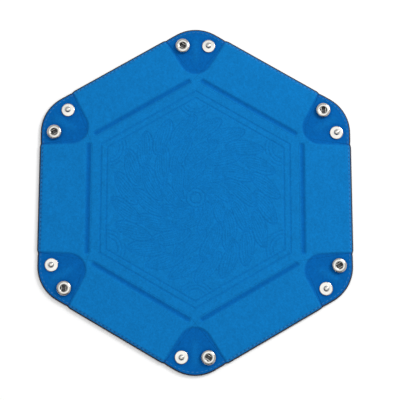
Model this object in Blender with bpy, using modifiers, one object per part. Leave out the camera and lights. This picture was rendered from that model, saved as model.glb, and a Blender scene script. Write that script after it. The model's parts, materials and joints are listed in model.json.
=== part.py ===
"""Folding hexagonal dice tray, lying flat and open.

A velvet sheet and a leather sheet are sewn together over seven stiff boards: a hexagonal floor and six walls.
The sheets are pressed together along the creases, the rim and the corners, where they hinge.
Each corner has a soft flap in two halves. One half carries a snap stud and the other a snap socket.

Units are metres, +Z is up, and the origin is on the table under the middle of the floor.
Wall 1 faces +X and the others follow anticlockwise. Corner N lies between wall N and the next wall.
"""

import math

import bmesh
import bpy
from mathutils import Matrix, Vector

MM = 0.001
SIDES = 6
TURN = 2 * math.pi / SIDES
HALF_TURN = TURN / 2

# Plan of the flat tray
WALL_EDGE = 131.0 * MM  # middle of the tray to a wall's outer edge
CORNER_EDGE = 130.5 * MM  # the same to the straight part of a corner's edge
CORNER_RADIUS = 33.0 * MM
CREASE = 89.5 * MM  # middle of the tray to a crease
CREASE_HALF = CREASE * math.tan(HALF_TURN)  # half a crease's length

# Layers, as heights above the table
SHEET = 0.9 * MM
BOARD_GAP = 0.3 * MM
BOARD = 2.1 * MM
BOARD_LOW = SHEET + BOARD_GAP
BOARD_HIGH = BOARD_LOW + BOARD
VELVET_LOW = BOARD_HIGH + BOARD_GAP
MIDDLE = (BOARD_LOW + BOARD_HIGH) / 2  # height of every fold's axis
PRESSED_GAP = 0.15 * MM  # half the gap between the two sheets where they are pressed together
FLAP_LOW = MIDDLE - PRESSED_GAP - SHEET
FLAP_HIGH = MIDDLE + PRESSED_GAP + SHEET

# Boards and the raised ground that they make in the sheets
BOARD_SETBACK = 2.9 * MM  # crease to the edge of the raised ground
BOARD_CLEARANCE = 0.3 * MM
FLOOR_CORNER_RADIUS = 4.0 * MM
WALL_BOARD_REACH = 37.3 * MM  # crease to the outer edge of a wall's raised ground
WALL_BOARD_SIDE = 6.3 * MM  # corner of the creases to the raised ground, along the crease
WALL_BOARD_TAPER = math.radians(3.0)
WALL_INNER_RADIUS = 7.0 * MM
WALL_OUTER_RADIUS = 2.0 * MM
RIM_RADIUS = 1.0 * MM
VELVET_FOLD_GAP = 1.2 * MM  # crease to the velvet's pressed edge: room for the walls to stand up
LEATHER_FOLD_GAP = 0.3 * MM
VELVET_EDGE_INSET = 0.8 * MM  # the velvet is cut this much smaller than the leather

# Corner flaps. Distances run outwards from a crease, and sideways from where two creases meet
WALL_FOLD = math.radians(85.0)  # how far a wall stands up
SNAP_OUT = 29.2 * MM
SNAP_SIDE = 4.15 * MM
FLAP_HINGE_SIDE = 2.8 * MM  # the flap's hinge line, on the wall's side, level with the snap
FLAP_HINGE_SKEW = math.atan(math.cos(WALL_FOLD) * math.tan(HALF_TURN))
FLAP_HINGE_GAP = 0.7 * MM
FLAP_MIDLINE_GAP = 0.35 * MM  # each half stops this far from the corner's midline
FLAP_START = 5.0 * MM
FLAP_INNER_RADIUS = 1.0 * MM

# Snaps: radii, and heights above the table
BARREL_RADIUS = 1.7 * MM
BARREL_BORE = 1.2 * MM
PIECE_GAP = 0.25 * MM
RIVET_HOLE_RADIUS = 2.1 * MM
CAP_RADIUS = 6.25 * MM
SOCKET_RADIUS = 6.25 * MM
SOCKET_MOUTH_RADIUS = 2.75 * MM
SOCKET_HEIGHT = 3.35 * MM
STUD_RADIUS = 5.6 * MM
STUD_BASE = 0.95 * MM
STUD_HEAD_RADIUS = 2.4 * MM
STUD_HEAD_HEIGHT = 2.6 * MM
POST_RADIUS = 4.6 * MM
UNDER_LOW = 0.05 * MM
UNDER_HIGH = FLAP_LOW - PIECE_GAP
OVER_LOW = FLAP_HIGH + PIECE_GAP

CORNER_STEPS = 4
ARC_STEPS = 6
HOLE_STEPS = 16
TURNED_STEPS = 20


def clear_scene():
    for obj in list(bpy.data.objects):
        bpy.data.objects.remove(obj, do_unlink=True)


def make_material(name, colour, roughness, metallic=0.0):
    """A Principled material. The colour is linear RGB."""
    material = bpy.data.materials.new(name)
    material.use_nodes = True
    shader = material.node_tree.nodes["Principled BSDF"]
    shader.inputs["Base Color"].default_value = (*colour, 1.0)
    shader.inputs["Roughness"].default_value = roughness
    shader.inputs["Metallic"].default_value = metallic
    return material


def make_empty(name, parent, location, angle):
    """An empty on a fold's axis. Its children are modelled around that axis."""
    empty = bpy.data.objects.new(name, None)
    empty.empty_display_size = 5 * MM
    collection.objects.link(empty)
    empty.parent = parent
    empty.location = location
    empty.rotation_euler.z = angle
    return empty


def add_piece(name, data, material, parent, location=(0, 0, 0)):
    """One named object of a shared mesh or curve."""
    obj = bpy.data.objects.new(name, data)
    collection.objects.link(obj)
    obj.parent = parent
    obj.location = location
    if not data.materials:
        data.materials.append(material)
    return obj


# Outlines, as lists of 2D points that run anticlockwise


def rounded(corners, steps=CORNER_STEPS):
    """The outline through corners, each (point, radius), with an arc at each corner."""
    outline = []
    count = len(corners)
    for i, (corner, radius) in enumerate(corners):
        to_last = (corners[i - 1][0] - corner).normalized()
        to_next = (corners[(i + 1) % count][0] - corner).normalized()
        half_angle = to_last.angle(to_next) / 2
        centre = corner + (to_last + to_next).normalized() * (radius / math.sin(half_angle))
        start = corner + to_last * (radius / math.tan(half_angle)) - centre
        sweep = math.pi - 2 * half_angle
        for step in range(steps + 1):
            spoke = start.copy()
            spoke.rotate(Matrix.Rotation(sweep * step / steps, 2))
            outline.append(centre + spoke)
    return outline


def floor_outline(inset, radius):
    """The floor's hexagon, with its sides inset from the creases."""
    corner_distance = (CREASE - inset) / math.cos(HALF_TURN)
    angles = [TURN * i + HALF_TURN for i in range(SIDES)]
    points = [Vector((math.cos(a), math.sin(a))) * corner_distance for a in angles]
    return rounded([(point, radius) for point in points])


def hinge_side(out):
    """How far the flap's hinge line lies from the meeting of the creases, at a distance out from the crease."""
    return FLAP_HINGE_SIDE + (SNAP_OUT - out) * math.tan(FLAP_HINGE_SKEW)


def board_side(out):
    return WALL_BOARD_SIDE + out * math.tan(WALL_BOARD_TAPER)


def wall_outline(inner, outer, side, inner_radius, outer_radius):
    """A wall's four-sided outline: X runs outwards from the crease and Y along it. side(out) narrows it."""
    corners = []
    for out, sign, radius in (
        (inner, -1, inner_radius),
        (outer, -1, outer_radius),
        (outer, 1, outer_radius),
        (inner, 1, inner_radius),
    ):
        corners.append((Vector((out, sign * (CREASE_HALF - side(out)))), radius))
    return rounded(corners)


def raised_outline(inset):
    """Edge of a wall's raised ground, moved inwards by inset."""
    return wall_outline(
        BOARD_SETBACK + inset,
        WALL_BOARD_REACH - inset,
        lambda out: board_side(out) + inset,
        WALL_INNER_RADIUS,
        WALL_OUTER_RADIUS,
    )


def skin_outline(fold_gap, edge_inset):
    """Edge of a wall's sheet: the crease, the two flap hinges and the tray's rim."""
    return wall_outline(
        fold_gap,
        WALL_EDGE - CREASE - edge_inset,
        lambda out: hinge_side(out) + FLAP_HINGE_GAP,
        RIM_RADIUS,
        RIM_RADIUS,
    )


def flap_frame(side):
    """Where a flap's axis lies in its wall's frame: (point, angle). side is 1 at the wall's +Y end, else -1."""
    point = Vector((SNAP_OUT, side * (CREASE_HALF - FLAP_HINGE_SIDE)))
    return point, side * FLAP_HINGE_SKEW


def in_flap(point, side):
    """A point of the wall's frame, in the flap's frame."""
    origin, angle = flap_frame(side)
    moved = point - origin
    moved.rotate(Matrix.Rotation(-angle, 2))
    return moved


def flap_outline(side):
    """Half of a corner: its wall's hinge line, the rounded rim and the corner's midline."""
    arc_centre = Vector((CORNER_EDGE - CORNER_RADIUS, (CORNER_EDGE - CORNER_RADIUS) * math.tan(HALF_TURN)))
    arc_centre -= Vector((CREASE, 0))
    arc_end = HALF_TURN - math.asin(FLAP_MIDLINE_GAP / CORNER_RADIUS)
    arc = []
    for step in range(ARC_STEPS + 1):
        angle = arc_end * step / ARC_STEPS
        arc.append(arc_centre + Vector((math.cos(angle), math.sin(angle))) * CORNER_RADIUS)
    midline = Vector((math.cos(HALF_TURN), math.sin(HALF_TURN)))
    away = Vector((math.sin(HALF_TURN), -math.cos(HALF_TURN)))
    along = (FLAP_START - away.x * FLAP_MIDLINE_GAP) / midline.x
    inner_mid = Vector((0, CREASE_HALF)) + midline * along + away * FLAP_MIDLINE_GAP
    rim = CORNER_EDGE - CREASE
    inner_hinge = Vector((FLAP_START, CREASE_HALF - hinge_side(FLAP_START) + FLAP_HINGE_GAP))
    outer_hinge = Vector((rim, CREASE_HALF - hinge_side(rim) + FLAP_HINGE_GAP))
    points = [inner_hinge, outer_hinge, *arc, inner_mid]
    return [in_flap(Vector((point.x, side * point.y)), side) for point in points]


def circle(centre, radius, steps=HOLE_STEPS):
    angles = [2 * math.pi * i / steps for i in range(steps)]
    return [centre + Vector((math.cos(a), math.sin(a))) * radius for a in angles]


# Shapes


def plate(name, outlines, low, high):
    """A flat plate between two heights over the fold's axis. Outlines after the first are holes."""
    curve = bpy.data.curves.new(name, "CURVE")
    curve.dimensions = "2D"
    curve.fill_mode = "BOTH"
    curve.extrude = (high - low) / 2
    for outline in outlines:
        spline = curve.splines.new("POLY")
        spline.points.add(len(outline) - 1)
        for point, place in zip(spline.points, outline):
            point.co = (place.x, place.y, (low + high) / 2, 1)
        spline.use_cyclic_u = True
    return curve


def pressed_sheet(name, raised, rim, raised_low, rim_low):
    """A sheet that lies flat over the board, then slopes to where the two sheets are pressed together."""
    shape = bmesh.new()
    inner = [shape.verts.new((p.x, p.y, raised_low)) for p in raised]
    outer = [shape.verts.new((p.x, p.y, rim_low)) for p in rim]
    shape.faces.new(inner)
    for i in range(len(inner)):
        last = i - 1
        shape.faces.new((inner[last], outer[last], outer[i], inner[i]))
    made = bmesh.ops.extrude_face_region(shape, geom=shape.faces[:], use_keep_orig=True)
    top = [part for part in made["geom"] if isinstance(part, bmesh.types.BMVert)]
    bmesh.ops.translate(shape, verts=top, vec=(0, 0, SHEET))
    bmesh.ops.recalc_face_normals(shape, faces=shape.faces)
    mesh = bpy.data.meshes.new(name)
    shape.to_mesh(mesh)
    shape.free()
    return mesh


def turned_profile(name, profile, closed):
    """A profile of (radius, height) points for a Screw. Its outer side runs from top to bottom."""
    shape = bmesh.new()
    points = [shape.verts.new((radius, 0, height)) for radius, height in profile]
    for a, b in zip(points, points[1:]):
        shape.edges.new((a, b))
    if closed:
        shape.edges.new((points[-1], points[0]))
    mesh = bpy.data.meshes.new(name)
    shape.to_mesh(mesh)
    shape.free()
    return mesh


def turn(obj):
    modifier = obj.modifiers.new("Turn", "SCREW")
    modifier.steps = TURNED_STEPS
    modifier.render_steps = TURNED_STEPS
    modifier.use_merge_vertices = True
    modifier.merge_threshold = 0.00001
    modifier.use_smooth_shade = True


def over_middle(profile):
    """Heights above the table, as heights above the fold's axis."""
    return [(radius, height - MIDDLE) for radius, height in profile]


def cap_profile():
    """Domed cap under a flap, with a tubular rivet that is rolled over inside the socket."""
    roll_low = OVER_LOW + 0.6 * MM
    roll_high = roll_low + 0.25 * MM
    roll_radius = 2.5 * MM
    bore_floor = FLAP_LOW + 0.3 * MM
    return over_middle([
        (0, bore_floor),
        (BARREL_BORE, bore_floor),
        (BARREL_BORE, roll_high),
        (roll_radius, roll_high),
        (roll_radius, roll_low),
        (BARREL_RADIUS, roll_low),
        (BARREL_RADIUS, UNDER_HIGH),
        (CAP_RADIUS - 0.2 * MM, UNDER_HIGH),
        (CAP_RADIUS, UNDER_HIGH - 0.25 * MM),
        (CAP_RADIUS - 0.4 * MM, UNDER_LOW + 0.35 * MM),
        (CAP_RADIUS * 0.6, UNDER_LOW + 0.1 * MM),
        (0, UNDER_LOW),
    ])


def socket_profile():
    """Ring with a rounded rim, a narrow mouth over a wider spring groove, and a floor round the rivet."""
    top = OVER_LOW + SOCKET_HEIGHT
    floor_top = OVER_LOW + 0.35 * MM
    floor_hole = BARREL_RADIUS + 0.3 * MM
    groove_radius = 3.3 * MM
    lip_low = top - 0.8 * MM
    return over_middle([
        (SOCKET_MOUTH_RADIUS, top - 0.35 * MM),
        (SOCKET_MOUTH_RADIUS + 0.4 * MM, top),
        (SOCKET_RADIUS - 1.4 * MM, top),
        (SOCKET_RADIUS - 0.4 * MM, top - 0.4 * MM),
        (SOCKET_RADIUS, top - 1.2 * MM),
        (SOCKET_RADIUS, OVER_LOW + 0.8 * MM),
        (SOCKET_RADIUS - 0.4 * MM, OVER_LOW),
        (floor_hole, OVER_LOW),
        (floor_hole, floor_top),
        (groove_radius, floor_top),
        (groove_radius, lip_low),
        (SOCKET_MOUTH_RADIUS, lip_low),
    ])


def stud_profile():
    """Disc with a round hollow head, which the post's rivet fills from below."""
    base_top = OVER_LOW + STUD_BASE
    top = base_top + STUD_HEAD_HEIGHT
    neck_radius = STUD_HEAD_RADIUS - 0.3 * MM
    bore_radius = BARREL_RADIUS + 0.25 * MM
    bore_top = base_top + 1.4 * MM
    return over_middle([
        (0, top),
        (STUD_HEAD_RADIUS * 0.5, top - 0.1 * MM),
        (STUD_HEAD_RADIUS * 0.85, top - 0.55 * MM),
        (STUD_HEAD_RADIUS, top - 1.2 * MM),
        (STUD_HEAD_RADIUS, base_top + 0.9 * MM),
        (neck_radius, base_top + 0.3 * MM),
        (neck_radius + 0.5 * MM, base_top),
        (STUD_RADIUS - 0.5 * MM, base_top - 0.1 * MM),
        (STUD_RADIUS, base_top - 0.5 * MM),
        (STUD_RADIUS - 0.2 * MM, OVER_LOW),
        (bore_radius, OVER_LOW),
        (bore_radius, bore_top),
        (0, bore_top),
    ])


def post_profile():
    """Flat-headed tubular rivet that holds the stud from under the flap."""
    barrel_top = OVER_LOW + STUD_BASE + 1.1 * MM
    bore_floor = FLAP_LOW + 0.3 * MM
    return over_middle([
        (0, bore_floor),
        (BARREL_BORE, bore_floor),
        (BARREL_BORE, barrel_top),
        (BARREL_RADIUS, barrel_top),
        (BARREL_RADIUS, UNDER_HIGH),
        (POST_RADIUS, UNDER_HIGH),
        (POST_RADIUS, UNDER_LOW + 0.3 * MM),
        (POST_RADIUS - 0.5 * MM, UNDER_LOW + 0.05 * MM),
        (0, UNDER_LOW + 0.05 * MM),
    ])


# Sub-parts


def build_floor():
    """Floor board between its stretch of the two sheets."""
    origin = make_empty("floor_frame", None, (0, 0, MIDDLE), 0)
    raised = floor_outline(BOARD_SETBACK, FLOOR_CORNER_RADIUS)
    board = floor_outline(BOARD_SETBACK + BOARD_CLEARANCE, FLOOR_CORNER_RADIUS)
    board_data = plate("floor_board", [board], BOARD_LOW - MIDDLE, BOARD_HIGH - MIDDLE)
    add_piece("floor_board", board_data, cardboard, origin)
    leather_rim = floor_outline(LEATHER_FOLD_GAP, FLOOR_CORNER_RADIUS)
    leather_data = pressed_sheet("floor_leather", raised, leather_rim, -MIDDLE, FLAP_LOW - MIDDLE)
    add_piece("floor_leather", leather_data, leather, origin)
    velvet_rim = floor_outline(VELVET_FOLD_GAP, FLOOR_CORNER_RADIUS)
    velvet_data = pressed_sheet("floor_velvet", raised, velvet_rim, VELVET_LOW - MIDDLE, PRESSED_GAP)
    add_piece("floor_velvet", velvet_data, velvet, origin)


def build_walls():
    """Six walls. Returns the empties on their creases."""
    raised = raised_outline(0)
    board_data = plate(
        "wall_board", [raised_outline(BOARD_CLEARANCE)], BOARD_LOW - MIDDLE, BOARD_HIGH - MIDDLE
    )
    leather_rim = skin_outline(LEATHER_FOLD_GAP, 0)
    leather_data = pressed_sheet("wall_leather", raised, leather_rim, -MIDDLE, FLAP_LOW - MIDDLE)
    velvet_rim = skin_outline(VELVET_FOLD_GAP, VELVET_EDGE_INSET)
    velvet_data = pressed_sheet("wall_velvet", raised, velvet_rim, VELVET_LOW - MIDDLE, PRESSED_GAP)
    creases = []
    for i in range(SIDES):
        angle = TURN * i
        place = (CREASE * math.cos(angle), CREASE * math.sin(angle), MIDDLE)
        crease = make_empty(f"wall_{i + 1}_crease", None, place, angle)
        add_piece(f"wall_{i + 1}_board", board_data, cardboard, crease)
        add_piece(f"wall_{i + 1}_leather", leather_data, leather, crease)
        add_piece(f"wall_{i + 1}_velvet", velvet_data, velvet, crease)
        creases.append(crease)
    return creases


def build_flap(number, kind, side, flap_data, snap_data, crease):
    """Half of a corner, with the snap piece on top and the rivet that holds it from below."""
    point, angle = flap_frame(side)
    hinge = make_empty(f"corner_{number}_{kind}_hinge", crease, (*point, 0), angle)
    add_piece(f"corner_{number}_{kind}_flap", flap_data, velvet, hinge)
    centre = in_flap(snap_centre(side), side)
    for name, data in snap_data.items():
        turn(add_piece(f"corner_{number}_{name}", data, nickel, hinge, (*centre, 0)))


def snap_centre(side):
    """A snap's centre in its wall's frame."""
    return Vector((SNAP_OUT, side * (CREASE_HALF + SNAP_SIDE)))


def flap_plate(name, side):
    hole = circle(in_flap(snap_centre(side), side), RIVET_HOLE_RADIUS)
    return plate(name, [flap_outline(side), hole], FLAP_LOW - MIDDLE, FLAP_HIGH - MIDDLE)


def build_corners(creases):
    """Six corners. The stud is on the wall of the corner's own number and the socket on the next wall."""
    stud_flap = flap_plate("stud_flap", 1)
    socket_flap = flap_plate("socket_flap", -1)
    stud_side = {
        "stud": turned_profile("stud", stud_profile(), closed=False),
        "post": turned_profile("post", post_profile(), closed=False),
    }
    socket_side = {
        "socket": turned_profile("socket", socket_profile(), closed=True),
        "cap": turned_profile("cap", cap_profile(), closed=False),
    }
    for i in range(SIDES):
        next_crease = creases[(i + 1) % SIDES]
        build_flap(i + 1, "stud", 1, stud_flap, stud_side, creases[i])
        build_flap(i + 1, "socket", -1, socket_flap, socket_side, next_crease)


clear_scene()
collection = bpy.data.collections.new("folding_dice_tray")
bpy.context.scene.collection.children.link(collection)
velvet = make_material("velvet", (0.008, 0.174, 0.491), 0.9)
leather = make_material("leather", (0.012, 0.016, 0.026), 0.5)
cardboard = make_material("cardboard", (0.30, 0.28, 0.25), 0.9)
nickel = make_material("nickel", (0.78, 0.76, 0.72), 0.25, metallic=1.0)
build_floor()
build_corners(build_walls())
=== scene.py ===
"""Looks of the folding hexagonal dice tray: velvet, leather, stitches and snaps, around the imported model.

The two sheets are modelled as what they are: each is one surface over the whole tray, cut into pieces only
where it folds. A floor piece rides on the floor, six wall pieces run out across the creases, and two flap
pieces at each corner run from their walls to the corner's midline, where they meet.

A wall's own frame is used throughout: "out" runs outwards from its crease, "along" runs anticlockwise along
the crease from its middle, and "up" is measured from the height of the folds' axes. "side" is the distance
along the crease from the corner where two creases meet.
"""

import json
import math
from collections import namedtuple

import bpy
import numpy as np
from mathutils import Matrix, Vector

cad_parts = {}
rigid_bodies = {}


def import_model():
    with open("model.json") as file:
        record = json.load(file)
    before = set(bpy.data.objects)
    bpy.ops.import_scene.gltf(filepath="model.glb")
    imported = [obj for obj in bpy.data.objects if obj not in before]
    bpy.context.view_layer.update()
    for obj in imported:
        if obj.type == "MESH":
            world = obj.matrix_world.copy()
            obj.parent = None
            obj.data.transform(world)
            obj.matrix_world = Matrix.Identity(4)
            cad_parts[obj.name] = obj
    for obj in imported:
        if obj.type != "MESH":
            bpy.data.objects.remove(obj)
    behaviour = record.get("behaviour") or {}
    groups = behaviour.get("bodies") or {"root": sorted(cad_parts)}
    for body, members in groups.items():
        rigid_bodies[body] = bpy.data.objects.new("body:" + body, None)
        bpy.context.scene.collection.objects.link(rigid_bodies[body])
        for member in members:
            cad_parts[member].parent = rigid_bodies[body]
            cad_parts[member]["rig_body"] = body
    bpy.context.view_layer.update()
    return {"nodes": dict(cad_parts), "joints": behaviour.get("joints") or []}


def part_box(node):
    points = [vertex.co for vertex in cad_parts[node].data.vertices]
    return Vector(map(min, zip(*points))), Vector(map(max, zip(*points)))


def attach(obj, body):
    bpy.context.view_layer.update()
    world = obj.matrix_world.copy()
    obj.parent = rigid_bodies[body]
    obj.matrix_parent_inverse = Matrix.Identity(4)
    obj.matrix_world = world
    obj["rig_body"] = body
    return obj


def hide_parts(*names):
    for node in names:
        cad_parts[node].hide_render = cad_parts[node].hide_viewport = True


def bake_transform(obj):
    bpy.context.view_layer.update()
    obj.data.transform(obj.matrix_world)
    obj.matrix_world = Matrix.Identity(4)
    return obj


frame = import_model()
JOINTS = {joint["name"]: joint for joint in frame["joints"]}

MM = 0.001
SIDES = 6
TURN = 2 * math.pi / SIDES
HALF_TURN = TURN / 2

# From the frame
CREASE = JOINTS["wall_1_fold"]["pos_m"][0]  # middle of the tray to a crease
MIDDLE = JOINTS["wall_1_fold"]["pos_m"][2]  # height of the folds' axes
CREASE_HALF = CREASE * math.tan(HALF_TURN)
WALL_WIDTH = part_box("wall_1_leather")[1].x - CREASE
_low, _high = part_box("corner_1_stud")
SNAP_OUT = (_low.x + _high.x) / 2 - CREASE
SNAP_ALONG = (_low.y + _high.y) / 2

# Sheets
RAISED_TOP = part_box("floor_velvet")[1].z - MIDDLE
PRESSED_TOP = 1.05 * MM
SHEET = 0.9 * MM
VELVET_INSET = 1.2 * MM
CORNER_DROP = 0.5 * MM  # the corners' edges lie this much further in than the walls'
CORNER_RADIUS = 33.0 * MM
KINK_ALONG = 46.0 * MM  # where a wall's edge steps in to its corner's
BEND_HALF = 3.0 * MM  # a wall's fold is spread over this much on each side of the crease
RAY_SLOPE = 0.155  # the wall pieces narrow outwards by this much on each side

# Pressed-in shapes
GROOVE_HALF = 1.65 * MM
GROOVE_SOFT = 1.4 * MM
GROOVE_END = 5.3 * MM
GROOVE_END_SOFT = 1.3 * MM
LEATHER_GROOVE_END = -4.0 * MM  # on the leather the grooves run through the corner of the creases
GUSSET_SIDE = 4.9 * MM  # the gussets are the soft corners between the walls' boards
GUSSET_TAPER = 0.045
GUSSET_SOFT = 1.2 * MM
GUSSET_APEX = 3.0 * MM  # corner of the creases to the gusset's rounded tip
RIM_SEAM = 2.6 * MM  # edge to the seam
STITCH_PITCH = 3.65 * MM
STITCH_LENGTH = 2.9 * MM
STITCH_RADIUS = 0.24 * MM
HOLE_RADIUS = 0.5 * MM
HOLE_LIFT = 0.06 * MM  # keeps the holes' dark discs of painted shade clear of the pile
EMBOSS_DEPTH = 0.34 * MM
HOLE_DEPTH = 0.28 * MM
HOLE_REACH = 0.6 * MM
SNAP_DIMPLE = 0.22 * MM
RIDGE_HEIGHT = 0.3 * MM  # the skin between a corner's two snaps
RIDGE_REACH = 3.0 * MM
VELVET_UNEVEN = 0.05 * MM
CUT_DROP = 0.35 * MM  # the pile drops this much at the velvet's cut edge
PINCH_HEIGHT = 0.75 * MM  # the leather rises this much where two creases meet
PINCH_REACH = 3.0 * MM
LEATHER_SNAP_DIMPLE = 0.18 * MM
LEATHER_UNEVEN = 0.04 * MM
LEATHER_EDGE_RISE = 0.25 * MM
EMBLEM_BORDERS = ((79.0 * MM, 0.5 * MM), (74.0 * MM, 0.45 * MM))  # (apothem, half width)
EMBLEM_FEATHERS = (  # (count, inner radius, outer radius, turn)
    (9, 9.0 * MM, 31.0 * MM, 0.0),
    (14, 27.0 * MM, 52.0 * MM, 0.2),
    (20, 48.0 * MM, 71.0 * MM, 0.1),
)
FEATHER_CURL = 0.9  # how much the feathers turn as they run outwards
EMBLEM_RINGS = (8.0 * MM, 4.5 * MM)
EMBLEM_LINE_HALF = 0.3 * MM
EMBLEM_SOFT = 0.5 * MM
FEATHER_VEINS = ((1.0, 1.0), (0.62, 0.75), (0.3, 0.6), (0.0, 0.8))  # (share of the width, strength)
CORNER_ARC_CENTRE = 85.0 * MM
CORNER_ARCS = (9.5 * MM, 12.5 * MM, 15.5 * MM)
CORNER_ARC_APOTHEM = 72.5 * MM  # the corner arcs stay inside this hexagon
CORNER_ARC_START = 70.0 * MM  # and outside this circle

# Stage and light
STAGE_SIZE = 40.0
STAGE_DROP = 0.2 * MM  # the stage lies this far under the tray
DARK_CARDS = ((0.1, -1.3, 0.62), (-1.2, -0.7, 0.42))
CARD_WIDTH = 1.5
CARD_GAP = 0.04
WORLD_STRENGTH = 0.64
OVERHEAD_POWER = 6.6
KEY_POWER = 7.6

HALVES = ((1, "stud"), (-1, "socket"))  # the corner's half at each end of a wall

VELVET_CELLS = 165  # lattice steps along a crease
LEATHER_CELLS = 96
FLAP_CELLS = 48
EDGE_PASSES = 30  # enough to settle a piece's end on the curved edge


# Small helpers


def smooth(value, low, high):
    """0 below low, 1 above high, and a smooth step between."""
    share = np.clip((value - low) / (high - low), 0, 1)
    return share * share * (3 - 2 * share)


def turned(points, angle):
    """Points (N, 3) turned about the Z axis."""
    c, s = math.cos(angle), math.sin(angle)
    return points @ np.array([[c, s, 0], [-s, c, 0], [0, 0, 1.0]])


def from_wall(points, wall):
    """Points of a wall's frame (out, along, up) in the row frame."""
    placed = points + np.array([CREASE, 0, MIDDLE])
    return turned(placed, TURN * wall)


def to_wall(xy):
    """Plan points in the frame of the nearest wall: (out, along)."""
    angle = np.arctan2(xy[:, 1], xy[:, 0])
    wall = np.round(angle / TURN)
    c, s = np.cos(wall * TURN), np.sin(wall * TURN)
    return xy[:, 0] * c + xy[:, 1] * s - CREASE, -xy[:, 0] * s + xy[:, 1] * c


def corner_at(wall, end):
    """Number, from 1, of the corner at an end (1 or -1) of a wall, which is counted from 0."""
    return wall + 1 if end == 1 else (wall - 1) % SIDES + 1


def edge_out(along):
    """How far out the tray's edge lies, at a place along a wall and on into its corners."""
    along = np.abs(along)
    straight = WALL_WIDTH - CORNER_DROP * smooth(along, KINK_ALONG - 2.5 * MM, KINK_ALONG + 1.0 * MM)
    straight = straight - 0.35 * MM * np.exp(-(((along - KINK_ALONG) / (1.6 * MM)) ** 2))
    centre_out, centre_along = corner_centre()
    past = np.clip(along - centre_along, 0, CORNER_RADIUS * 0.999)
    return np.where(
        along > centre_along, centre_out + np.sqrt(CORNER_RADIUS**2 - past**2), straight
    )


def corner_centre():
    """Centre of a corner's rounding, in the wall's frame."""
    reach = CREASE + WALL_WIDTH - CORNER_DROP - CORNER_RADIUS
    return reach - CREASE, reach * math.tan(HALF_TURN)


def edge_distance(out, along):
    """How far inside the tray's edge a point lies."""
    along = np.abs(along)
    centre_out, centre_along = corner_centre()
    round_part = CORNER_RADIUS - np.hypot(out - centre_out, along - centre_along)
    return np.where(along > centre_along, round_part, edge_out(along) - out)


# The pressed relief that both sheets share


def groove_share(out, side, end):
    """1 in a crease's groove, 0 off it. The groove starts where side is end."""
    across = 1 - smooth(np.abs(out), GROOVE_HALF - GROOVE_SOFT, GROOVE_HALF + GROOVE_SOFT)
    return across * smooth(side, end - GROOVE_END_SOFT, end + GROOVE_END_SOFT)


def gusset_share(out, side, soft):
    """1 in the soft corner between two walls' boards, 0 off it."""
    taper = math.atan(GUSSET_TAPER)
    half_angle = HALF_TURN + taper
    lateral = side * math.cos(HALF_TURN) + out * math.sin(HALF_TURN)
    radial = -side * math.sin(HALF_TURN) + out * math.cos(HALF_TURN)
    start_out = -GUSSET_SIDE / (GUSSET_TAPER + math.tan(HALF_TURN))
    virtual = -(GUSSET_SIDE + GUSSET_TAPER * start_out) * math.sin(HALF_TURN)
    virtual += start_out * math.cos(HALF_TURN)
    radius = (GUSSET_APEX - virtual) / (1 / math.sin(half_angle) - 1)
    centre = GUSSET_APEX + radius
    lateral = np.abs(lateral)
    past_side = radius - (
        lateral * math.cos(half_angle) - (radial - centre) * math.sin(half_angle)
    )
    past_arc = radius - np.hypot(lateral, radial - centre)
    in_arc = (centre - radial) * math.cos(half_angle) > lateral * math.sin(half_angle)
    inside = np.where(in_arc, past_arc, past_side)
    return smooth(inside, -soft, soft)


def pressed_shares(out, along, groove_end, gusset_soft):
    """How far each pressed shape reaches here, from 0 to 1: (groove, gusset, rim)."""
    side = CREASE_HALF - np.abs(along)
    rim = 1 - smooth(edge_distance(out, along), RIM_SEAM - 0.7 * MM, RIM_SEAM + 1.0 * MM)
    return groove_share(out, side, groove_end), gusset_share(out, side, gusset_soft), rim


def together(*shares):
    """Pressed if any of the shares says so."""
    left = 1.0
    for share in shares:
        left = left * (1 - share)
    return 1 - left


def seam_end():
    """Where a wall's stretch of the seam ends and its corners' stretches begin, along the wall."""
    return CREASE_HALF - RAY_SLOPE * (WALL_WIDTH - RIM_SEAM)


def wall_stitches():
    """Number of stitches along one wall."""
    return round(2 * seam_end() / STITCH_PITCH)


def needle_hole_share(out, along):
    """1 at the middle of a wall's needle holes, 0 away from them."""
    pitch = 2 * seam_end() / wall_stitches()
    steps = (along + seam_end()) / pitch
    past_hole = (steps - np.round(steps)) * pitch
    distance = np.hypot(past_hole, edge_distance(out, along) - RIM_SEAM)
    on_wall = np.abs(along) < seam_end() + 0.5 * MM
    return np.exp(-((distance / HOLE_REACH) ** 2)) * on_wall


def snap_distance(out, along):
    """Distance from the nearest snap's axis."""
    return np.hypot(out - SNAP_OUT, np.abs(along) - SNAP_ALONG)


def waves(x, y, seed, count, low, high):
    """Soft unevenness, mostly from -1 to 1: a fixed sum of plane waves with lengths from low to high."""
    random = np.random.default_rng(seed)
    total = np.zeros_like(x)
    for _ in range(count):
        heading = random.uniform(0, 2 * math.pi)
        length = math.exp(random.uniform(math.log(low), math.log(high)))
        phase = random.uniform(0, 2 * math.pi)
        total += np.sin((x * math.cos(heading) + y * math.sin(heading)) * 2 * math.pi / length + phase)
    return total / math.sqrt(count)


def line_profile(distance, half_width, soft):
    """1 on a line, 0 off it."""
    return 1 - smooth(np.abs(distance), half_width, half_width + soft)


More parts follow.
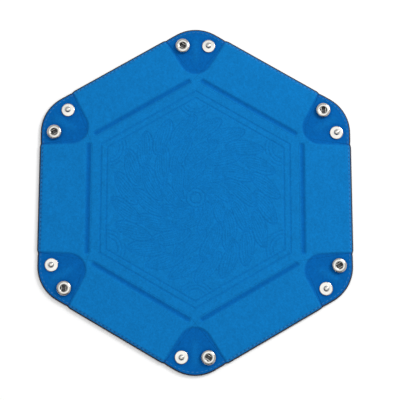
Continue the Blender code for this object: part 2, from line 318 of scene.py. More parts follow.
def feather_share(angle, radius, count, inner, outer, phase):
    """Pressed lines of a ring of curled feathers: each feather's outline and its veins."""
    share = np.clip((radius - inner) / (outer - inner), 0, 1)
    curled = angle + FEATHER_CURL * np.log(np.maximum(radius, 1 * MM) / inner) + phase
    width = 2 * math.pi / count
    across = (curled / width - np.floor(curled / width) - 0.5) * width * radius
    half = width * radius * 0.5 * np.sin(math.pi * np.clip(share, 0.0, 1.0) ** 0.75) ** 0.7
    inside = (radius > inner) & (radius < outer)
    found = np.zeros_like(radius)
    for vein, strength in FEATHER_VEINS:
        line = line_profile(np.abs(across) - vein * half, EMBLEM_LINE_HALF, EMBLEM_SOFT)
        found = np.maximum(found, strength * line)
    return np.where(inside, found, 0)


def emblem_share(x, y):
    """1 in the lines pressed into the floor: two hexagon borders around rings of curled feathers."""
    angle = np.arctan2(y, x)
    radius = np.hypot(x, y)
    sector = angle - np.round(angle / TURN) * TURN
    flat = radius * np.cos(sector)
    found = np.zeros_like(x)
    for apothem, half_width in EMBLEM_BORDERS:
        found = np.maximum(found, line_profile(flat - apothem, half_width, EMBLEM_SOFT))
    for count, inner, outer, phase in EMBLEM_FEATHERS:
        found = np.maximum(found, feather_share(angle, radius, count, inner, outer, phase))
    for ring in EMBLEM_RINGS:
        found = np.maximum(found, line_profile(radius - ring, 0.35 * MM, EMBLEM_SOFT))
    # arcs that fill the hexagon's corners
    turn_to = np.round((angle - HALF_TURN) / TURN) * TURN + HALF_TURN
    centre_x = CORNER_ARC_CENTRE * np.cos(turn_to)
    centre_y = CORNER_ARC_CENTRE * np.sin(turn_to)
    from_corner = np.hypot(x - centre_x, y - centre_y)
    in_corner = (flat < CORNER_ARC_APOTHEM) & (radius > CORNER_ARC_START)
    for arc in CORNER_ARCS:
        line = line_profile(from_corner - arc, EMBLEM_LINE_HALF, EMBLEM_SOFT)
        found = np.maximum(found, np.where(in_corner, 0.8 * line, 0))
    return found


def velvet_top(x, y):
    """(height over the folds' axes, darkness of the pile with painted shade and highlight) of the velvet's
    upper face, at plan points.
    """
    out, along = to_wall(np.stack([x, y], 1))
    side = CREASE_HALF - np.abs(along)
    groove, gusset, rim = pressed_shares(out, along, GROOVE_END, GUSSET_SOFT)
    pressed = together(groove, gusset, rim)
    hole = needle_hole_share(out, along)
    emblem = emblem_share(x, y)
    near_snap = 1 - smooth(snap_distance(out, along), 6.3 * MM, 8.6 * MM)
    radial = -side * math.sin(HALF_TURN) + out * math.cos(HALF_TURN)
    lateral = side * math.cos(HALF_TURN) + out * math.sin(HALF_TURN)
    ridge = np.exp(-((lateral / RIDGE_REACH) ** 2)) * smooth(radial, 9 * MM, 19 * MM)
    ridge = ridge * (1 - smooth(radial, 30 * MM, 38 * MM))
    ground = waves(x, y, 11, 14, 16 * MM, 60 * MM) * (1 - pressed)
    edge = edge_distance(out, along) - VELVET_INSET
    cut = 1 - smooth(edge, 0.0, 0.7 * MM)
    height = RAISED_TOP - (RAISED_TOP - PRESSED_TOP) * pressed
    height = height - EMBOSS_DEPTH * emblem - HOLE_DEPTH * hole - SNAP_DIMPLE * near_snap
    height = height + RIDGE_HEIGHT * ridge + VELVET_UNEVEN * ground - CUT_DROP * cut
    # painted shadow: a dark ring round the foot of each snap
    snap_shadow = 1 - smooth(snap_distance(out, along), 6.5 * MM, 7.4 * MM)
    # darker in the grooves and gussets, partly from the flattened pile and partly as painted shade of the
    # creases; painted shade over the dimple round each snap
    dark = together(0.75 * groove, 0.85 * gusset) + 0.26 * emblem + 0.2 * near_snap
    # a painted highlight on the ridge between the snaps, and painted shade in the needle holes and on the
    # drop of the velvet's cut edge
    dark = dark + 0.9 * snap_shadow - 0.3 * ridge - 0.1 * rim + 0.9 * hole + 0.5 * cut
    return height, np.clip(dark, 0, 1.3)


def leather_bottom(x, y):
    """(height over the folds' axes, pressed share) of the leather's lower face, at plan points."""
    out, along = to_wall(np.stack([x, y], 1))
    from_corner = np.hypot(out, CREASE_HALF - np.abs(along))
    junction = 1 - smooth(from_corner, 3.5 * MM, 6.5 * MM)
    shares = pressed_shares(out, along, LEATHER_GROOVE_END, 1.5 * GUSSET_SOFT)
    pressed = together(*shares, junction)
    height = -MIDDLE + (MIDDLE - PRESSED_TOP) * pressed
    # pinched up to the folds' axes where two creases meet
    height = height + PINCH_HEIGHT * np.exp(-((from_corner / PINCH_REACH) ** 2))
    near_snap = 1 - smooth(snap_distance(out, along), 6.0 * MM, 8.5 * MM)
    height = height + LEATHER_SNAP_DIMPLE * near_snap * pressed
    ground = 1 + waves(x, y, 29, 12, 14 * MM, 50 * MM) * 0.5
    height = height + LEATHER_UNEVEN * np.clip(ground, 0, 2) * (1 - pressed)
    rounded = 1 - smooth(edge_distance(out, along), 0.0, 0.6 * MM)
    height = height + LEATHER_EDGE_RISE * rounded
    return height, pressed


# Width of the folds, and baking a piece's placement


def bend_half(side):
    """Half the width of a wall's fold, which narrows to nothing at the corner of the creases."""
    return np.clip(0.5 * side, 0.15 * MM, BEND_HALF)


def give_weights(obj):
    """Bakes obj's placement into its mesh."""
    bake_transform(obj)


# Mesh making


def mesh_object(name, points, faces, material, flat_faces=0):
    """A mesh object. Its last flat_faces faces are shaded flat, and the others smooth."""
    mesh = bpy.data.meshes.new(name)
    mesh.from_pydata(points.tolist(), [], faces)
    smooth_faces = len(mesh.polygons) - flat_faces
    mesh.polygons.foreach_set("use_smooth", [True] * smooth_faces + [False] * flat_faces)
    mesh.materials.append(material)
    mesh.update()
    obj = bpy.data.objects.new(name, mesh)
    bpy.context.scene.collection.objects.link(obj)
    return obj


def set_attribute(obj, name, values):
    attribute = obj.data.attributes.new(name, "FLOAT", "POINT")
    attribute.data.foreach_set("value", values.astype(np.float32))


def grid_faces(rows, columns, first=0, flip=False):
    """Quads of a grid whose vertices run row by row."""
    i, j = np.meshgrid(np.arange(rows - 1), np.arange(columns - 1), indexing="ij")
    a = (first + i * columns + j).ravel()
    quads = np.stack([a, a + 1, a + columns + 1, a + columns], 1)
    return (quads[:, ::-1] if flip else quads).tolist()


def grid_loop(rows, columns):
    """The border of a grid, once round."""
    top = list(range(columns))
    right = [i * columns + columns - 1 for i in range(1, rows)]
    bottom = [(rows - 1) * columns + j for j in range(columns - 2, -1, -1)]
    left = [i * columns for i in range(rows - 2, 0, -1)]
    return top + right + bottom + left


def slab(name, points, rows, columns, material):
    """A closed sheet from the points of its upper face and then its lower one, both on the same grid.

    Rows run outwards and columns anticlockwise.
    """
    count = rows * columns
    faces = grid_faces(rows, columns, flip=True) + grid_faces(rows, columns, first=count)
    loop = grid_loop(rows, columns)
    for a, b in zip(loop, loop[1:] + loop[:1]):
        faces.append((a, b, b + count, a + count))
    return mesh_object(name, points, faces, material, len(loop))


def lattice(cells):
    """Triangular lattice of the floor's hexagon: (xy, faces, border), with cells steps along a side."""
    corner_distance = CREASE / math.cos(HALF_TURN)
    corners = [
        np.array([math.cos(HALF_TURN + TURN * k), math.sin(HALF_TURN + TURN * k)]) * corner_distance
        for k in range(-1, SIDES)
    ]
    points = [np.zeros((1, 2))]
    starts = [0]
    for ring in range(1, cells + 1):
        steps = np.arange(ring)[:, None] / ring
        starts.append(starts[-1] + (1 if ring == 1 else SIDES * (ring - 1)))
        sides = [
            (corners[k] * (1 - steps) + corners[k + 1] * steps) * ring / cells for k in range(SIDES)
        ]
        points.append(np.concatenate(sides))
    faces = []
    for ring in range(1, cells + 1):
        size, inner_size = SIDES * ring, max(1, SIDES * (ring - 1))
        outer, inner = starts[ring], starts[ring - 1]
        for k in range(SIDES):
            for j in range(ring):
                a = outer + k * ring + j
                b = outer + (k * ring + j + 1) % size
                c = inner + (k * (ring - 1) + j) % inner_size
                faces.append((a, b, c))
                if j < ring - 1:
                    d = inner + (k * (ring - 1) + j + 1) % inner_size
                    faces.append((c, b, d))
    border = list(range(starts[cells], starts[cells] + SIDES * cells))
    return np.concatenate(points), faces, border


def floor_sheet(sheet):
    """The floor's stretch of a sheet: a fine outer face, and a flat inner face against the board."""
    xy, faces, border = lattice(sheet.cells)
    out, along = to_wall(xy)
    side = np.maximum(CREASE_HALF - np.abs(along), 0)
    pull = bend_half(side) * smooth(out, -14 * MM, 0)
    shrink = 1 - pull / np.maximum(out + CREASE, 1 * MM)
    xy = xy * shrink[:, None]
    height, shade = sheet.face_height(xy[:, 0], xy[:, 1])
    outer = np.column_stack([xy, height + MIDDLE])
    ring = outer[border].copy()
    ring[:, 2] = sheet.inner_height(height[border]) + MIDDLE
    count = len(outer)
    skirt = []
    for i in range(len(border)):
        j = (i + 1) % len(border)
        skirt.append((border[j], border[i], count + i, count + j))
    cap = [tuple(range(count + len(border) - 1, count - 1, -1))]
    all_faces = faces + skirt + cap
    if not sheet.upwards:
        all_faces = [tuple(reversed(face)) for face in all_faces]
    points = np.concatenate([outer, ring])
    obj = mesh_object(f"{sheet.kind}_floor", points, all_faces, sheet.material, len(border) + 1)
    set_attribute(obj, "shade", np.concatenate([shade, shade[border]]))
    return obj


def wall_rows(cells):
    """Rows of a wall's grid: shares of the bend before the crease, then shares of the way to the edge."""
    step = CREASE_HALF * 2 / cells
    before = np.linspace(-1, 0, max(4, round(BEND_HALF / step / 1.1)) + 1)[:-1]
    count = round(WALL_WIDTH / step / 1.15)
    shares = np.linspace(0, 1, count + 1)
    bunched = shares - 0.045 * np.sin(2 * math.pi * shares)
    return before, bunched


def sheet_piece(name, sheet, points, rows, columns, wall):
    """A stretch of sheet over a grid of (out, along) points: (object, its points in the wall's frame)."""
    flat = from_wall(np.column_stack([points, np.zeros(len(points))]), wall)
    height, shade = sheet.face_height(flat[:, 0], flat[:, 1])
    inner = sheet.inner_height(height)
    upper, lower = (height, inner) if sheet.upwards else (inner, height)
    local = np.column_stack([np.concatenate([points, points]), np.concatenate([upper, lower])])
    obj = slab(name, from_wall(local, wall), rows, columns, sheet.material)
    set_attribute(obj, "shade", np.concatenate([shade, shade]))
    return obj, local


def wall_grid(sheet):
    """(points, rows, columns) of a wall piece, in (out, along)."""
    before, outward = wall_rows(sheet.cells)
    at_crease = np.linspace(-1, 1, sheet.cells + 1) * CREASE_HALF
    half = bend_half(CREASE_HALF - np.abs(at_crease))
    grid = []
    for back in before:
        out = back * half
        grid.append(np.column_stack([out, at_crease * (1 + out / CREASE)]))
    end_out = np.full_like(at_crease, WALL_WIDTH)
    for _ in range(EDGE_PASSES):
        narrowed = at_crease * (1 - RAY_SLOPE * end_out / CREASE_HALF)
        end_out = edge_out(narrowed) - sheet.inset
    for forward in outward:
        out = forward * end_out
        grid.append(np.column_stack([out, at_crease * (1 - RAY_SLOPE * out / CREASE_HALF)]))
    return np.concatenate(grid), len(grid), sheet.cells + 1


def flap_reach(heading, inset):
    """Distance from the corner of the creases to the tray's edge, by the angle from the outward direction."""
    reach = np.full_like(heading, WALL_WIDTH)
    for _ in range(EDGE_PASSES):
        along = CREASE_HALF + reach * np.sin(heading)
        reach = (edge_out(along) - inset) / np.cos(heading)
    return reach


def flap_grid(sheet, end):
    """(points, rows, columns) of a corner's half at a wall's end (1 or -1), in (out, along)."""
    outward = wall_rows(sheet.cells)[1]
    step = np.linspace(0, 1, FLAP_CELLS + 1)
    finer = 1 - (1 - step) ** 1.9  # the columns crowd towards the midline, where the bend is tight
    heading = HALF_TURN - (HALF_TURN + math.atan(RAY_SLOPE)) * (1 - finer)
    reach = flap_reach(heading, sheet.inset)
    shares = np.concatenate([[0.004], outward[1:]])
    if end < 0:
        heading, reach = heading[::-1], reach[::-1]
    out = shares[:, None] * (reach * np.cos(heading))[None, :]
    along = end * (CREASE_HALF + shares[:, None] * (reach * np.sin(heading))[None, :])
    return np.column_stack([out.ravel(), along.ravel()]), len(shares), len(heading)


def velvet_inner(height):
    """The velvet's lower face, under a height of its upper one. It stays over the leather."""
    return np.maximum(height - SHEET, 0.02 * MM)


def leather_inner(height):
    """The leather's upper face, over a height of its lower one. It stays under the velvet."""
    return np.minimum(height + SHEET, -0.02 * MM)


# How one of the two sheets is made
Sheet = namedtuple("Sheet", "kind cells face_height inner_height inset material upwards")


def build_sheet(sheet):
    """One whole sheet: a floor piece, six wall pieces and twelve flap pieces."""
    floor = floor_sheet(sheet)
    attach(floor, "floor")
    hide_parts(f"floor_{sheet.kind}")
    points, rows, columns = wall_grid(sheet)
    for wall in range(SIDES):
        number = wall + 1
        piece, local = sheet_piece(f"{sheet.kind}_wall_{number}", sheet, points, rows, columns, wall)
        give_weights(piece)
        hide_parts(f"wall_{number}_{sheet.kind}")
        for end, half in HALVES:
            build_flap(sheet, wall, end, half)


def build_flap(sheet, wall, end, half):
    """One sheet's stretch over a corner's half, between its wall and the corner's midline."""
    corner = corner_at(wall, end)
    points, rows, columns = flap_grid(sheet, end)
    piece, local = sheet_piece(f"{sheet.kind}_{half}_flap_{corner}", sheet, points, rows, columns, wall)
    give_weights(piece)
    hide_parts(f"corner_{corner}_{half}_flap")


# Materials


def new_material(name):
    material = bpy.data.materials.new(name)
    material.use_nodes = True
    nodes, links = material.node_tree.nodes, material.node_tree.links
    return material, nodes, links, nodes["Principled BSDF"]


def add_node(nodes, kind, **values):
    """A shader node with its properties and unlinked inputs set."""
    node = nodes.new(kind)
    for key, value in values.items():
        if key in node.inputs:
            node.inputs[key].default_value = value
        else:
            setattr(node, key, value)
    return node


def colour_mix(nodes, links, factor, first, second, mode="MIX"):
    """A colour mix. first and second are colours or sockets; factor is a socket or a number."""
    node = nodes.new("ShaderNodeMix")
    node.data_type = "RGBA"
    node.blend_type = mode
    for socket, value in ((node.inputs[0], factor), (node.inputs[6], first), (node.inputs[7], second)):
        if isinstance(value, bpy.types.NodeSocket):
            links.new(value, socket)
        else:
            socket.default_value = value
    return node.outputs[2]


def ramp(nodes, links, source, low, high, out_low, out_high):
    """A socket that runs from out_low to out_high while source runs from low to high."""
    node = add_node(nodes, "ShaderNodeMapRange", clamp=True)
    for i, value in enumerate((low, high, out_low, out_high)):
        node.inputs[i + 1].default_value = value
    links.new(source, node.inputs[0])
    return node.outputs[0]


def noise(nodes, links, scale, detail=2.0, roughness=0.5, stretch=None):
    """A noise socket, from 0 to 1, in the object's own coordinates."""
    coordinates = nodes.new("ShaderNodeTexCoord").outputs["Object"]
    if stretch:
        mapping = add_node(nodes, "ShaderNodeMapping")
        mapping.inputs["Scale"].default_value = stretch
        links.new(coordinates, mapping.inputs["Vector"])
        coordinates = mapping.outputs["Vector"]
    node = add_node(nodes, "ShaderNodeTexNoise", Scale=scale, Detail=detail, Roughness=roughness)
    links.new(coordinates, node.inputs["Vector"])
    return node.outputs["Fac"]


def add_bump(nodes, links, shader, height, distance, strength=1.0):
    bump = add_node(nodes, "ShaderNodeBump", Strength=strength, Distance=distance)
    links.new(height, bump.inputs["Height"])
    links.new(bump.outputs["Normal"], shader.inputs["Normal"])


def velvet_material():
    """Short blue pile: darker where it is pressed and where shade is painted in, lighter where a highlight is
    painted in, mottled by the lie of the nap, with a soft sheen.
    """
    material, nodes, links, shader = new_material("velvet")
    # the shade attribute carries the flattened pile's darkening together with painted shade, painted shadow
    # and a painted highlight
    pressed = add_node(nodes, "ShaderNodeAttribute", attribute_name="shade").outputs["Fac"]
    raised = (0.003, 0.157, 0.445, 1)
    pressed_and_shaded = (0.0002, 0.092, 0.345, 1)
    base = colour_mix(nodes, links, pressed, raised, pressed_and_shaded)
    nap = ramp(nodes, links, noise(nodes, links, 60, 3.0, 0.6), 0.3, 0.7, 0.97, 1.03)
    tuft = ramp(nodes, links, noise(nodes, links, 340, 2.0, 0.6, (1.0, 0.6, 1.0)), 0.3, 0.7, 0.95, 1.05)
    fleck = ramp(nodes, links, noise(nodes, links, 760, 2.0, 0.6), 0.3, 0.7, 0.89, 1.11)
    pile = ramp(nodes, links, noise(nodes, links, 2200, 2.0, 0.7), 0.25, 0.75, 0.86, 1.14)
    for variation in (nap, tuft, fleck, pile):
        base = colour_mix(nodes, links, 1.0, base, variation, "MULTIPLY")
    links.new(base, shader.inputs["Base Color"])
    shader.inputs["Roughness"].default_value = 0.95
    shader.inputs["Specular IOR Level"].default_value = 0.06
    shader.inputs["Sheen Weight"].default_value = 0.14
    shader.inputs["Sheen Roughness"].default_value = 0.45
    shader.inputs["Sheen Tint"].default_value = (0.1, 0.55, 1.0, 1)
    add_bump(nodes, links, shader, noise(nodes, links, 1700, 3.0, 0.7), 0.00016, 0.8)
    return material


def leather_material():
    """Dark bluish leatherette with a fine pebble grain and a slightly worn sheen."""
    material, nodes, links, shader = new_material("leather")
    coordinates = nodes.new("ShaderNodeTexCoord").outputs["Object"]
    wobble = noise(nodes, links, 420, 2.0)
    shifted = nodes.new("ShaderNodeVectorMath")
    shifted.operation = "MULTIPLY_ADD"
    links.new(wobble, shifted.inputs[0])
    shifted.inputs[1].default_value = (0.0012, 0.0012, 0.0012)
    links.new(coordinates, shifted.inputs[2])
    pebbles = add_node(nodes, "ShaderNodeTexVoronoi", Scale=1150, feature="DISTANCE_TO_EDGE")
    links.new(shifted.outputs[0], pebbles.inputs["Vector"])
    grain = ramp(nodes, links, pebbles.outputs["Distance"], 0.0, 0.3, 0.0, 1.0)
    valley, crown = (0.0085, 0.016, 0.032, 1), (0.015, 0.027, 0.050, 1)
    base = colour_mix(nodes, links, grain, valley, crown)
    patches = ramp(nodes, links, noise(nodes, links, 30, 3.0), 0.3, 0.7, 0.88, 1.14)
    base = colour_mix(nodes, links, 1.0, base, patches, "MULTIPLY")
    links.new(base, shader.inputs["Base Color"])
    wear = ramp(nodes, links, noise(nodes, links, 60, 4.0), 0.3, 0.7, 0.46, 0.6)
    links.new(wear, shader.inputs["Roughness"])
    shader.inputs["Specular IOR Level"].default_value = 0.4
    add_bump(nodes, links, shader, grain, 0.00016, 0.55)
    return material


def metal_material(name, colour, roughness, scratch_scale):
    """Plated metal with faint handling marks in its gloss."""
    material, nodes, links, shader = new_material(name)
    tone = ramp(nodes, links, noise(nodes, links, 220, 3.0), 0.3, 0.7, 0.0, 1.0)
    darker = tuple(c * 0.88 for c in colour[:3]) + (1,)
    links.new(colour_mix(nodes, links, tone, darker, colour), shader.inputs["Base Color"])
    shader.inputs["Metallic"].default_value = 1.0
    marks = noise(nodes, links, scratch_scale, 3.0, 0.6, (1.0, 0.15, 1.0))
    links.new(ramp(nodes, links, marks, 0.35, 0.7, roughness, roughness + 0.14), shader.inputs["Roughness"])
    add_bump(nodes, links, shader, marks, 0.00002, 0.35)
    return material


def thread_material():
    """Blue polyester thread: twisted plies, and painted shade on its ends where it dives into the needle
    holes.
    """
    material, nodes, links, shader = new_material("thread")
    depth = add_node(nodes, "ShaderNodeAttribute", attribute_name="shade").outputs["Fac"]
    # dark is painted shade, for the thread's ends and the needle holes' discs
    light, dark = (0.006, 0.17, 0.48, 1), (0.0003, 0.008, 0.045, 1)
    base = colour_mix(nodes, links, depth, light, dark)
    twist = ramp(nodes, links, noise(nodes, links, 2600, 1.0), 0.35, 0.65, 0.75, 1.15)
    links.new(colour_mix(nodes, links, 1.0, base, twist, "MULTIPLY"), shader.inputs["Base Color"])
    shader.inputs["Roughness"].default_value = 0.6
    shader.inputs["Sheen Weight"].default_value = 0.1
    add_bump(nodes, links, shader, noise(nodes, links, 2600, 1.0), 0.00008, 0.6)
    return material


def board_material():
    """Grey binder's board, with flecks of pulp."""
    material, nodes, links, shader = new_material("board")
    flecks = ramp(nodes, links, noise(nodes, links, 900, 4.0, 0.7), 0.35, 0.65, 0.0, 1.0)
    base = colour_mix(nodes, links, flecks, (0.21, 0.19, 0.16, 1), (0.34, 0.32, 0.28, 1))
    links.new(base, shader.inputs["Base Color"])
    shader.inputs["Roughness"].default_value = 0.92
    add_bump(nodes, links, shader, flecks, 0.0001, 0.5)
    return material


# Stitches


def stitch_centres(end):
    """Middles of the stitches of a wall (end 0), or of the corner's half at its end (1 or -1)."""
    if end == 0:
        count = wall_stitches()
        along = (np.arange(count) + 0.5) / count * 2 * seam_end() - seam_end()
        return np.column_stack([edge_out(along) - RIM_SEAM, along])
    centre_out, centre_along = corner_centre()
    inner_radius = CORNER_RADIUS - RIM_SEAM - 0.3 * MM
    straight = centre_along - seam_end()
    arc = inner_radius * HALF_TURN
    count = round((straight + arc) / STITCH_PITCH)
    places = (np.arange(count) + 0.5) / count * (straight + arc)
    angle = np.clip((places - straight) / inner_radius, 0, None)
    along = np.where(places < straight, seam_end() + places, centre_along + inner_radius * np.sin(angle))
    out = centre_out + inner_radius * np.cos(angle)
    return np.column_stack([out, end * along])


def stitch_mesh(name, centres, wall, face_height, lift, material):
    """Thread bows between needle holes. Returns the object and its points in the wall's frame.

    A negative lift is for the lower face. A bow's ends dive into the sheet, and its shade grows towards them.
    """
    around, steps = 8, 9
    sign = math.copysign(1, lift)
    headings = np.gradient(centres, axis=0)
    headings /= np.linalg.norm(headings, axis=1)[:, None]
    share = np.linspace(-1, 1, steps)
    bow = 1 - share**4
    thick = STITCH_RADIUS * (0.7 + 0.3 * bow)
    turn_to = 2 * math.pi * np.arange(around) / around
    local, faces, shade = [], [], []
    for centre, heading in zip(centres, headings):
        first = len(local) * steps * around
        across = np.array([-heading[1], heading[0]])
        middles = centre + np.outer(share, heading) * STITCH_LENGTH / 2
        flat = from_wall(np.column_stack([middles, np.zeros(steps)]), wall)
        surface = face_height(flat[:, 0], flat[:, 1])[0]
        level = surface + lift * bow - sign * 0.55 * MM * (1 - bow)
        plan = middles[:, None, :] + thick[:, None, None] * np.cos(turn_to)[None, :, None] * across
        up = level[:, None] + sign * 0.8 * thick[:, None] * np.sin(turn_to)[None, :]
        local.append(np.concatenate([plan, up[:, :, None]], 2).reshape(-1, 3))
        shade.append(np.repeat(np.clip((np.abs(share) - 0.55) / 0.45, 0, None), around))
        for step in range(steps - 1):
            for k in range(around):
                a = first + step * around + k
                b = first + step * around + (k + 1) % around
                faces.append((a, b, b + around, a + around))
        faces.append(tuple(first + k for k in reversed(range(around))))
        faces.append(tuple(first + (steps - 1) * around + k for k in range(around)))
    if sign < 0:
        faces = [face[::-1] for face in faces]
    local = np.concatenate(local)
    obj = mesh_object(name, from_wall(local, wall), faces, material)
    set_attribute(obj, "shade", np.concatenate(shade))
    return obj, local


def hole_shade_mesh(name, wall, material):
    """Dark discs of painted shade at the bottom of a wall's needle holes."""
    count = wall_stitches()
    along = np.arange(count + 1) / count * 2 * seam_end() - seam_end()
    out = edge_out(along) - RIM_SEAM
    flat = from_wall(np.column_stack([out, along, np.zeros(count + 1)]), wall)
    level = velvet_top(flat[:, 0], flat[:, 1])[0] + HOLE_LIFT
    steps = 10
    turn_to = 2 * math.pi * np.arange(steps) / steps
    rim_out = out[:, None] + HOLE_RADIUS * np.cos(turn_to)
    rim_along = along[:, None] + HOLE_RADIUS * np.sin(turn_to)
    rim_up = np.repeat(level[:, None], steps, axis=1)
    local = np.stack([rim_out, rim_along, rim_up], 2).reshape(-1, 3)
    faces = [tuple(hole * steps + k for k in range(steps)) for hole in range(count + 1)]
    obj = mesh_object(name, from_wall(local, wall), faces, material)
    set_attribute(obj, "shade", np.ones(len(local)))
    return obj


def build_stitches(material):
    """The seam's stitches on both faces, and discs of painted shade in the needle holes along the walls."""
    for side_name, face_height, wall_lift, corner_lift in (
        ("upper", velvet_top, 0.02 * MM, 0.12 * MM),
        ("lower", leather_bottom, -0.12 * MM, -0.2 * MM),
    ):
        for wall in range(SIDES):
            name = f"stitches_{side_name}_wall_{wall + 1}"
            piece, _ = stitch_mesh(name, stitch_centres(0), wall, face_height, wall_lift, material)
            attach(piece, f"wall_{wall + 1}")
            for end, half in HALVES:
                corner = corner_at(wall, end)
                name = f"stitches_{side_name}_{half}_{corner}"
                centres = stitch_centres(end)
                piece, local = stitch_mesh(name, centres, wall, face_height, corner_lift, material)
                give_weights(piece)
    for wall in range(SIDES):
        holes = hole_shade_mesh(f"needle_hole_shade_wall_{wall + 1}", wall, material)
        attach(holes, f"wall_{wall + 1}")


# Snaps


def turned_mesh(name, profile, material, steps=64, closed=False):
    """A turned solid about its own Z axis. The profile's (radius, height) points run down the outer side."""
    points, faces = [], []
    profile = [(radius * MM, height * MM) for radius, height in profile]
    rings = []
    for radius, height in profile:
        if radius == 0:
            rings.append([len(points)])
            points.append((0, 0, height))
            continue
        rings.append([len(points) + k for k in range(steps)])
        for k in range(steps):
            a = 2 * math.pi * k / steps
            points.append((radius * math.cos(a), radius * math.sin(a), height))
    pairs = list(zip(rings, rings[1:]))
    if closed:
        pairs.append((rings[-1], rings[0]))
    for upper, lower in pairs:
        for k in range(steps):
            n = (k + 1) % steps
            if len(upper) == 1:
                faces.append((upper[0], lower[k], lower[n]))
            elif len(lower) == 1:
                faces.append((upper[k], lower[0], upper[n]))
            else:
                faces.append((upper[k], lower[k], lower[n], upper[n]))
    return mesh_object(name, np.array(points), faces, material)


def rounded_profile(corners, steps=5):
    """Rounds a profile's corners, each (radius, height, rounding), in millimetres."""
    found = []
    for i, (r, h, rounding) in enumerate(corners):
        if rounding == 0 or i in (0, len(corners) - 1):
            found.append((r, h))
            continue
        corner = Vector((r, h))
        back = Vector(corners[i - 1][:2]) - corner
        ahead = Vector(corners[i + 1][:2]) - corner
        start = corner + back.normalized() * min(rounding, back.length * 0.49)
        finish = corner + ahead.normalized() * min(rounding, ahead.length * 0.49)
        for k in range(steps + 1):
            s = k / steps
            point = start * (1 - s) ** 2 + corner * 2 * s * (1 - s) + finish * s**2
            found.append((max(point.x, 0.0), point.y))
    return found


# The snaps' half sections, as (radius, height, rounding) in millimetres
SOCKET_SHAPE = [
    (2.8, 2.3, 0),
    (2.85, 3.1, 0.5),
    (3.9, 3.4, 0.5),
    (5.0, 3.15, 0.4),
    (5.95, 2.6, 0.9),
    (6.25, 1.5, 0.6),
    (6.2, 0.5, 0.4),
    (5.8, 0.0, 0.2),
    (2.0, 0.0, 0.1),
    (2.0, 0.35, 0.1),
    (3.4, 0.4, 0.1),
    (3.4, 2.25, 0.1),
]
STUD_SHAPE = [
    (0, 3.55, 0),
    (0.9, 3.5, 0.5),
    (1.8, 3.1, 0.6),
    (2.4, 2.4, 0.6),
    (2.35, 1.75, 0.4),
    (1.95, 1.4, 0.3),
    (2.2, 1.02, 0.4),
    (3.6, 0.92, 0.4),
    (5.2, 0.86, 0.5),
    (5.6, 0.55, 0.3),
    (5.55, 0.05, 0.15),
    (0, 0.0, 0),
]
CAP_SHAPE = [
    (0, 0.95, 0),
    (5.9, 0.95, 0.1),
    (6.25, 0.75, 0.2),
    (6.15, 0.4, 0.3),
    (4.8, 0.14, 0.8),
    (2.6, 0.06, 0.8),
    (0, 0.05, 0),
]
POST_SHAPE = [
    (0, 0.95, 0),
    (4.3, 0.95, 0.1),
    (4.6, 0.7, 0.2),
    (4.5, 0.3, 0.3),
    (3.6, 0.12, 0.5),
    (2.2, 0.16, 0.4),
    (1.35, 0.45, 0.2),
    (1.1, 0.85, 0.1),
    (0, 0.88, 0),
]
RIVET_SHAPE = [
    (0, 0.5, 0),
    (0.7, 0.5, 0.1),
    (0.75, 0.85, 0.2),
    (1.15, 1.05, 0.25),
    (1.6, 0.9, 0.3),
    (1.75, 0.58, 0.2),
    (3.3, 0.52, 0.1),
    (3.3, 0.38, 0),
    (0, 0.38, 0),
]


SPRING_WIRE_RADIUS = 0.28 * MM
SPRING_GAP = 1.75 * MM  # axis to a straight run
SPRING_REACH = 2.5 * MM
SPRING_END = 2.95 * 0.98 * MM
SPRING_BEND_LIFT = 0.35 * MM
SPRING_BEND_DEPTH = 0.9 * MM
SPRING_BEND_POINTS = 10
SPRING_BEND_START = 205  # degrees
SPRING_BEND_STEP = 15
SPRING_HEIGHT = 1.75 * MM  # over the socket's base
SPRING_TURN = 0.5
SNAP_SUNK = 0.2 * MM  # the upper snaps press this far into the pile


def place_turned(obj, node, low_height):
    """Stands a turned piece on its snap's axis, and gives it to the body of its CAD node."""
    low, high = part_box(node)
    obj.location = ((low.x + high.x) / 2, (low.y + high.y) / 2, low_height)
    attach(obj, frame["nodes"][node]["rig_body"])


def spring_object(name, material):
    """The wire that grips a stud: two straight runs across the mouth, each with a curved end."""
    curved = []
    for k in range(SPRING_BEND_POINTS):
        angle = math.radians(SPRING_BEND_START - SPRING_BEND_STEP * k)
        x = SPRING_END * math.cos(angle)
        curved.append((x, SPRING_GAP + SPRING_BEND_LIFT + SPRING_BEND_DEPTH * math.sin(angle)))
    straight = [(SPRING_REACH * (1 - k / 4), SPRING_GAP) for k in range(9)]
    run = curved + straight
    curve = bpy.data.curves.new(name, "CURVE")
    curve.dimensions = "3D"
    curve.bevel_depth = SPRING_WIRE_RADIUS
    curve.bevel_resolution = 3
    curve.use_fill_caps = True
    for sign in (1, -1):
        spline = curve.splines.new("POLY")
        spline.points.add(len(run) - 1)
        for point, (x, y) in zip(spline.points, run[::sign]):
            point.co = (sign * x, sign * y, 0, 1)
    obj = bpy.data.objects.new(name, curve)
    bpy.context.scene.collection.objects.link(obj)
    curve.materials.append(material)
    return obj


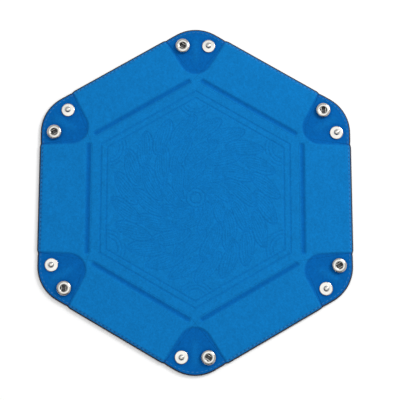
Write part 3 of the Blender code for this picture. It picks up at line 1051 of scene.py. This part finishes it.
def build_snaps(nickel, spring_steel, dull_steel):
    """All the corners' snaps: four turned pieces, the rivet's rolled end and the spring."""
    over_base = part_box("corner_1_socket")[0].z
    profiles = {
        "socket": (rounded_profile(SOCKET_SHAPE), True, over_base - SNAP_SUNK),
        "stud": (rounded_profile(STUD_SHAPE), False, over_base - SNAP_SUNK),
        "cap": (rounded_profile(CAP_SHAPE), False, 0.0),
        "post": (rounded_profile(POST_SHAPE), False, 0.0),
    }
    for corner in range(1, SIDES + 1):
        for kind, (profile, closed, height) in profiles.items():
            node = f"corner_{corner}_{kind}"
            piece = turned_mesh(f"snap_{kind}_{corner}", profile, nickel, closed=closed)
            place_turned(piece, node, height)
            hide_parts(node)
        # the rivet's roll and its disc over the socket's floor are near-black steel: painted shade in the
        # socket's mouth
        roll = turned_mesh(f"snap_rivet_{corner}", rounded_profile(RIVET_SHAPE), dull_steel, 48)
        place_turned(roll, f"corner_{corner}_socket", over_base - SNAP_SUNK)
        spring = spring_object(f"snap_spring_{corner}", spring_steel)
        spring.rotation_euler.z = TURN * corner + SPRING_TURN
        place_turned(spring, f"corner_{corner}_socket", over_base + SPRING_HEIGHT)


# Stage


def build_stage():
    """A pale floor that runs to the horizon, two lights, and two dark cards for the metal to reflect."""
    bpy.ops.mesh.primitive_plane_add(size=STAGE_SIZE, location=(0, 0, -STAGE_DROP))
    floor = bpy.context.object
    floor.name = "stage_floor"
    give_plain_material(floor, 0.97)
    world = bpy.data.worlds.new("studio")
    world.use_nodes = True
    background = world.node_tree.nodes["Background"]
    background.inputs["Color"].default_value = (1, 1, 1, 1)
    background.inputs["Strength"].default_value = WORLD_STRENGTH
    bpy.context.scene.world = world
    add_area("overhead_light", (0.0, 0.1, 1.6), 1.6, OVERHEAD_POWER)
    add_area("key_light", (0.78, 0.57, 0.78), 0.5, KEY_POWER)
    for number, place in enumerate(DARK_CARDS):
        add_dark_card(f"dark_card_{number + 1}", place)


def give_plain_material(obj, grey):
    material, _, _, shader = new_material(obj.name)
    shader.inputs["Base Color"].default_value = (grey, grey, grey, 1)
    shader.inputs["Roughness"].default_value = 0.9
    shader.inputs["Specular IOR Level"].default_value = 0.1
    obj.data.materials.append(material)


def add_dark_card(name, place):
    """A black card that only reflections see, standing on the stage and facing the tray."""
    bpy.ops.mesh.primitive_plane_add(size=1.0, location=place)
    card = bpy.context.object
    card.name = name
    card.scale = (CARD_WIDTH, 2 * place[2] - CARD_GAP, 1)
    card.rotation_euler = (-Vector((place[0], place[1], 0))).to_track_quat("Z", "Y").to_euler()
    give_plain_material(card, 0.01)
    card.visible_camera = False
    card.visible_diffuse = False
    card.visible_shadow = False


def add_area(name, place, size, power):
    light = bpy.data.lights.new(name, "AREA")
    light.shape = "DISK"
    light.size = size
    light.energy = power
    obj = bpy.data.objects.new(name, light)
    bpy.context.scene.collection.objects.link(obj)
    obj.location = place
    obj.rotation_euler = (-Vector(place)).to_track_quat("-Z", "Y").to_euler()


def build_camera():
    """Nearly straight down from a little towards -Y."""
    distance, elevation, azimuth, focal = 0.696, math.radians(82.71), math.radians(0.12), 75.0
    camera_data = bpy.data.cameras.new("camera")
    camera_data.lens = focal
    camera_data.sensor_width = 36.0
    camera_data.shift_x = 0.0117
    camera_data.shift_y = -0.0042
    camera = bpy.data.objects.new("camera", camera_data)
    bpy.context.scene.collection.objects.link(camera)
    back = Vector(
        (
            math.sin(azimuth) * math.cos(elevation),
            -math.cos(azimuth) * math.cos(elevation),
            math.sin(elevation),
        )
    )
    camera.location = Vector((0, 0, MIDDLE)) + back * distance
    camera.rotation_euler = (-back).to_track_quat("-Z", "Y").to_euler()
    bpy.context.scene.camera = camera


def main():
    scene = bpy.context.scene
    scene.view_settings.view_transform = "Standard"
    velvet, leather, thread = velvet_material(), leather_material(), thread_material()
    nickel = metal_material("nickel", (0.6, 0.585, 0.55, 1), 0.15, 900)
    spring_steel = metal_material("spring_steel", (0.62, 0.61, 0.58, 1), 0.24, 1500)
    # near-black steel: painted shade for the socket's mouth
    dull_steel = metal_material("dull_steel", (0.1, 0.1, 0.1, 1), 0.35, 1100)
    board = board_material()
    velvet_sheet = Sheet("velvet", VELVET_CELLS, velvet_top, velvet_inner, VELVET_INSET, velvet, True)
    leather_sheet = Sheet("leather", LEATHER_CELLS, leather_bottom, leather_inner, 0, leather, False)
    build_sheet(leather_sheet)
    build_sheet(velvet_sheet)
    build_stitches(thread)
    build_snaps(nickel, spring_steel, dull_steel)
    for name, node in frame["nodes"].items():
        if name.endswith("_board"):
            node.data.materials.clear()
            node.data.materials.append(board)
    build_stage()
    build_camera()


main()
